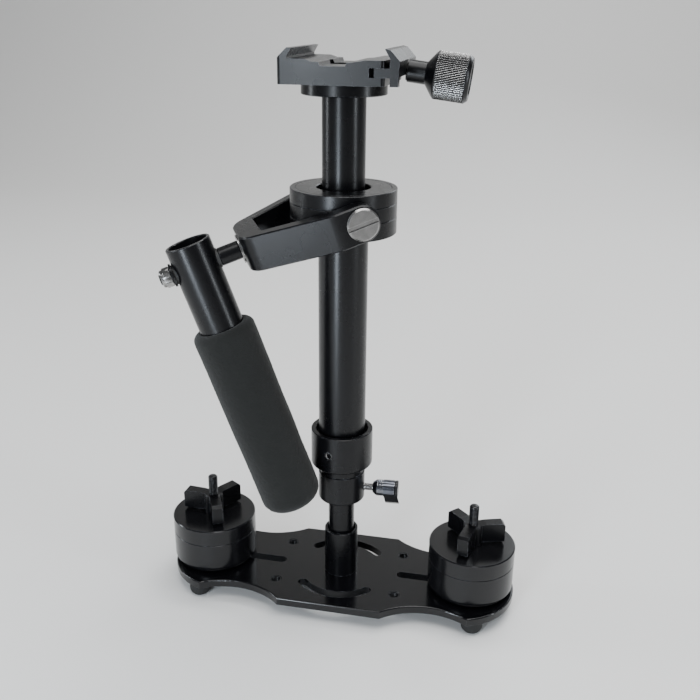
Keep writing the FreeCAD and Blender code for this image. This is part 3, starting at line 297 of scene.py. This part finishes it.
def ring_rows(rings, place, segments, closed=False):
    """Vertices and faces of rings. A ring is a height and a radius, or a function giving it by angle."""
    vertices, rows, faces = [], [], []
    for height, radius in rings:
        if radius == 0:
            vertices.append(place @ Vector((0, 0, height * MM)))
            rows.append([len(vertices) - 1] * segments)
            continue
        row = []
        for step in range(segments):
            angle = math.tau * step / segments
            reach = radius(angle) if callable(radius) else radius
            spot = Vector((reach * math.cos(angle), reach * math.sin(angle), height))
            row.append(len(vertices))
            vertices.append(place @ (spot * MM))
        rows.append(row)
    pairs = list(zip(rows, rows[1:]))
    if closed:
        pairs.append((rows[-1], rows[0]))
    for low, high in pairs:
        for step in range(segments):
            following = (step + 1) % segments
            corners = dict.fromkeys((low[step], low[following], high[following], high[step]))
            if len(corners) > 2:
                faces.append(list(corners))
    return vertices, faces


def make_piece(name, parts, slot, body, sharp):
    """One object of the given vertices and faces, painted and fixed to a body. Sharp is in degrees."""
    vertices, faces = [], []
    for part_vertices, part_faces in parts:
        first = len(vertices)
        vertices += part_vertices
        faces += [[first + corner for corner in face] for face in part_faces]
    mesh = bpy.data.meshes.new(name)
    mesh.from_pydata(vertices, [], faces)
    mesh.validate()
    mesh.shade_smooth()
    mesh.set_sharp_from_angle(angle=math.radians(sharp))
    piece = bpy.data.objects.new(name, mesh)
    bpy.context.scene.collection.objects.link(piece)
    paint(piece, slot)
    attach(piece, body)
    return piece


def thread_rings(radius, depth, pitch, low, high):
    """Rings of a thread that fades in and out over one turn. A depth below 0 cuts outwards."""
    count = round((high - low) / pitch * THREAD_STEPS)
    rings = []
    for step in range(count + 1):
        height = low + (high - low) * step / count
        fade = min(1.0, (height - low) / pitch, (high - height) / pitch)

        def reach(angle, height=height, fade=fade):
            phase = (height / pitch - angle / math.tau) % 1
            valley = min(1.0, max(0.0, 1.25 * (1 - abs(2 * phase - 1)) - 0.15))
            return radius - depth * fade * valley

        rings.append((height, reach))
    return rings


def hexagon(across, corner):
    """The radius of a hexagon, with its corners turned off."""
    def reach(angle):
        return min(corner, across / 2 / math.cos(angle % (math.pi / 3) - math.pi / 6))
    return reach


def make_stud(side, x):
    """An M6 bolt whose thread starts above the weights."""
    head, seat, collar, top = -8.85, -4.85, 31.3, 57.0
    flats = hexagon(10, 5.6)
    rings = [(head, 0), (head, 4.7), (head + 0.5, flats), (seat, flats), (seat, 3.0)]
    rings += thread_rings(3.0, 0.5, 1.0, collar, top - 1.0)
    rings += [(top - 0.55, 2.75), (top - 0.15, 2.35), (top, 1.9), (top, 0)]
    parts = [ring_rows(rings, standing(x), 48)]
    piece = make_piece(f"{side}_stud_threaded", parts, "black_steel", f"weight_{side}", 50)
    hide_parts(f"{side}_stud")


def make_hole_threads():
    """The threads inside the plate's four accessory holes."""
    low, high, outer = -4.6, -0.2, 3.31
    inner = thread_rings(2.85, -0.42, 1.27, low, high)
    rings = [(low, outer), (high, outer), *reversed(inner)]
    parts = []
    for x in (-HOLE_X, HOLE_X):
        for y in (-HOLE_Y, HOLE_Y):
            parts.append(ring_rows(rings, standing(x, y), 40, closed=True))
    make_piece("hole_threads", parts, "black_steel", "base", 50)


def make_knob():
    """The clamp's knob: dark, with bright, slanted ridges round its grip; the bright ridge tops are partly worn
    bare metal and partly a painted highlight.
    """
    start, end, radius = 15.0, 30.6, 12.05
    lines, lean, deep, run_out = 64, math.tan(math.radians(20)), 0.45, 0.4

    def grip(height):
        fade = min(1.0, (height - start) / run_out, (end - height) / run_out)
        drift = height * lean / radius

        def reach(angle):
            wave = math.cos(lines * (angle + drift))
            return radius - deep * fade * (0.5 - 0.5 * wave) ** 0.8

        return reach

    bore = 2.52
    rings = [(12.02, 0), (12.02, bore), (0.2, bore), (0.2, 5.4), (0.5, 5.7), (9.6, 5.7), (10.0, 6.1)]
    rings += [(13.5, 10.7), (14.2, 11.4), (14.6, radius - 0.15), (start, radius)]
    count = 60
    heights = [start + (end - start) * step / count for step in range(count + 1)]
    rings += [(height, grip(height)) for height in heights]
    rings += [(end + 0.3, radius - 0.15), (32.3, 10.85), (32.55, 10.5)]
    rings += [(32.55, 8.8), (32.0, 8.4), (32.0, 0)]
    place = along(KNOB_START, KNOB_AXIS, (0, 1, 0))
    parts = [ring_rows(rings, place, lines * 8)]
    knob = make_piece("clamp_knob_knurled", parts, "gunmetal", "clamp_knob", 40)
    knob.data.materials.append(MATERIALS["black_anodised"])
    knob.data.materials.append(MATERIALS["bright_steel"])
    back = place.inverted()
    # Ridge tops take bright steel, partly worn bare metal and partly a painted highlight for the knurl's lit
    # facets; the rest keeps the knob's black anodising.
    for face in knob.data.polygons:
        spot = (back @ face.center) / MM
        worn_and_lit_ridge = spot.xy.length > radius - 0.1 and start + 0.3 < spot.z < end - 0.3
        face.material_index = 2 if worn_and_lit_ridge else 1
    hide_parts("clamp_knob")


def make_lock_thread():
    """The open part of the locking screw's thread, as a threaded skin on its shank."""
    low, high, inner = 14.35, 19.75, 1.9
    rings = [*thread_rings(2.28, 0.3, 0.7, low, high), (high, inner), (low, inner)]
    parts = [ring_rows(rings, along(LOCK_SCREW, LOCK_AXIS, (0, 0, 1)), 48, closed=True)]
    make_piece("lock_screw_thread", parts, "bright_steel", "lock_screw", 50)


def arc(centre, radius, first, last, steps=8):
    """Rings along a quarter turn: centre is a radius and a height, angles in degrees from outwards."""
    rings = []
    for step in range(steps + 1):
        angle = math.radians(first + (last - first) * step / steps)
        rings.append((centre[1] + radius * math.sin(angle), centre[0] + radius * math.cos(angle)))
    return rings


def make_foam():
    """The foam grip: soft round ends, a domed lower face and a skin that noise pushes inwards."""
    radius, bottom, top, bore, bore_end = 18.0, -154.0, -36.0, 12.52, -145.0
    top_round, end_round, dome, dome_radius = 4.5, 8.0, 3.0, 10
    rows, segments = 150, 168
    place = along(HANDLE_BOLT, HANDLE_UP, YOKE_NOSE)
    rings = [(bottom - dome, 0)]
    rings += [(bottom - dome * (1 - (reach / dome_radius) ** 2), reach) for reach in range(1, dome_radius)]
    rings += arc((radius - end_round, bottom + end_round), end_round, -90, 0, 12)
    span = top - bottom - top_round - end_round
    rings += [(bottom + end_round + span * step / rows, radius) for step in range(1, rows)]
    rings += arc((radius - top_round, top - top_round), top_round, 0, 90)
    skin = len(rings)
    rings += [(top - 0.3, bore), (bore_end, bore), (bore_end, 0)]
    vertices, faces = ring_rows(rings, place, segments)
    axis = Vector(HANDLE_UP).normalized()
    centre = Vector(HANDLE_BOLT) * MM
    for index in range(1, 1 + (skin - 1) * segments):
        spot = vertices[index]
        outward = spot - centre
        outward -= axis * outward.dot(axis)
        if outward.length < 0.001:
            continue
        cells = noise.noise(spot * 900) + 0.6 * noise.noise(spot * 2100)
        waves = noise.noise(spot * 45)
        depth = 0.00016 * (1 - cells) + 0.00022 * (1 - waves)
        vertices[index] = spot - outward.normalized() * min(depth, 0.0007)
    grip = make_piece("foam_sleeve", [(vertices, faces)], "foam", "handle", 60)
    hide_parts("foam_grip")


def make_grub_screw():
    """A grub screw: a bright cup with a hexagon socket painted dark as shade."""
    middle = box_middle("collar_grub_screw")
    outward = Vector((middle.x, middle.y, 0)).normalized()
    flats = hexagon(2.5, 1.5)
    socket_end = GRUB_END - 2.1
    rings = [(GRUB_START, 0), (GRUB_START, 2.2)]
    rings += thread_rings(2.58, 0.25, 0.8, GRUB_START + 0.3, GRUB_END - 0.5)
    rings += [(GRUB_END - 0.4, 2.58), (GRUB_END, 2.2), (GRUB_END, 1.75), (GRUB_END - 0.35, flats)]
    rings += [(socket_end, flats), (socket_end, 0)]
    place = along((0, 0, middle.z), outward, (0, 0, 1))
    parts = [ring_rows(rings, place, 48)]
    screw = make_piece("grub_screw_socketed", parts, "bright_steel", "column", 30)
    screw.data.materials.append(MATERIALS["black_steel"])
    back = place.inverted()
    # Faces inside the socket take black steel: painted shade in the recess.
    for face in screw.data.polygons:
        spot = (back @ face.center) / MM
        if spot.xy.length < 1.5:
            face.material_index = 1
    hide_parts("collar_grub_screw")


def make_lock_nut():
    """A nylon-insert nut: a hexagon with its corners turned off and a smaller round collar."""
    across, bore = 10.0, 3.02
    corner = 0.5 * across / math.cos(math.pi / 6)
    flats = hexagon(across, corner - 0.08)
    start, end = NUT_START, NUT_START + 6.0
    collar = end - 1.6
    rings = [(start, bore), (start, 4.7), (start + 0.55, flats), (collar - 0.5, flats), (collar, 4.85)]
    rings += [(end - 0.7, 4.85), (end - 0.15, 4.5), (end, 4.0), (end, bore)]
    parts = [ring_rows(rings, along(PIVOT, YOKE_NOSE, HANDLE_UP), 72, closed=True)]
    nut = make_piece("lock_nut_chamfered", parts, "bright_steel", "yoke", 30)
    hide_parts("lock_nut")


for stud_side in ("left", "right"):
    make_stud(stud_side, box_middle(f"{stud_side}_stud").x)
make_hole_threads()
make_knob()
make_lock_thread()
make_foam()
make_lock_nut()
make_grub_screw()


# --- stage, lights and camera ---------------------------------------------------------------------

def make_floor():
    """A pale sweep, in metres: a level floor that curves up far behind."""
    level = cad_box[0][2]
    near, bend, radius, top, half_width = -9.0, 1.2, 1.4, 5.0, 12.0
    profile = [(near, level)]
    for step in range(25):
        angle = math.radians(90 * step / 24)
        profile.append((bend + radius * math.sin(angle), level + radius * (1 - math.cos(angle))))
    profile.append((bend + radius, top))
    vertices = [(side * half_width, y, z) for y, z in profile for side in (-1, 1)]
    faces = [(2 * row, 2 * row + 1, 2 * row + 3, 2 * row + 2) for row in range(len(profile) - 1)]
    mesh = bpy.data.meshes.new("floor")
    mesh.from_pydata(vertices, [], faces)
    mesh.shade_smooth()
    floor = bpy.data.objects.new("floor", mesh)
    bpy.context.scene.collection.objects.link(floor)
    material, _, shader, _ = new_material("floor_paint")
    shader.inputs["Base Color"].default_value = (0.78, 0.775, 0.76, 1)
    shader.inputs["Roughness"].default_value = 0.6
    mesh.materials.append(material)


def add_light(name, at, target, size, power, colour=(1, 1, 1)):
    data = bpy.data.lights.new(name, "AREA")
    data.shape = "RECTANGLE"
    data.size, data.size_y = size
    data.energy = power
    data.color = colour
    lamp = bpy.data.objects.new(name, data)
    lamp.location = at
    lamp.rotation_euler = (Vector(target) - Vector(at)).to_track_quat("-Z", "Y").to_euler()
    bpy.context.scene.collection.objects.link(lamp)


def make_lights():
    """Narrow lights draw the bright lines on the tubes, and wide ones light the floor and the sweep."""
    middle, column = (0, 0, 0.16), (0, 0, 0.2)
    add_light("key", (-0.34, -1.15, 0.5), (0, 0, 0.17), (0.26, 0.6), 8, (0.84, 0.92, 1.0))
    add_light("low_strip", (-0.17, -0.56, 0.07), column, (0.1, 0.26), 2, (0.80, 0.89, 1.0))
    add_light("side", (1.2, -0.35, 0.4), column, (0.12, 0.7), 5, (0.88, 0.94, 1.0))
    add_light("left", (-1.25, -0.1, 0.45), column, (0.12, 0.8), 5, (0.9, 0.95, 1.0))
    add_light("top", (0.25, -0.1, 1.5), middle, (1.5, 1.0), 24)
    add_light("back", (0.6, 1.3, 0.9), middle, (0.9, 0.5), 6, (0.9, 0.95, 1.0))
    add_light("backdrop", (0, 0.9, 2.2), (0, 2.3, 0.4), (2.0, 0.6), 26)
    world = bpy.data.worlds.new("studio")
    world.use_nodes = True
    background = world.node_tree.nodes["Background"]
    background.inputs["Color"].default_value = (0.85, 0.87, 0.9, 1)
    background.inputs["Strength"].default_value = 0.25
    bpy.context.scene.world = world


def make_camera():
    """The camera stands in front, a little to the right, and looks down on the stabiliser."""
    place = Vector((98.4, -461.1, 333.8)) * MM
    yaw, pitch, roll = -0.201, 0.370, 0.010
    sensor, lens = 36.0, 44.413714
    ahead = Vector((math.sin(yaw), math.cos(yaw), 0))
    forward = math.cos(pitch) * ahead - Vector((0, 0, math.sin(pitch)))
    level = Vector((math.cos(yaw), -math.sin(yaw), 0))
    right = math.cos(roll) * level + math.sin(roll) * level.cross(forward)
    up = right.cross(forward)
    data = bpy.data.cameras.new("camera")
    data.sensor_width = sensor
    data.lens = lens
    data.clip_start = 0.01
    camera = bpy.data.objects.new("camera", data)
    axes = Matrix((right, up, -forward)).transposed().to_4x4()
    camera.matrix_world = Matrix.Translation(place) @ axes
    bpy.context.scene.collection.objects.link(camera)
    bpy.context.scene.camera = camera


make_floor()
make_lights()
make_camera()
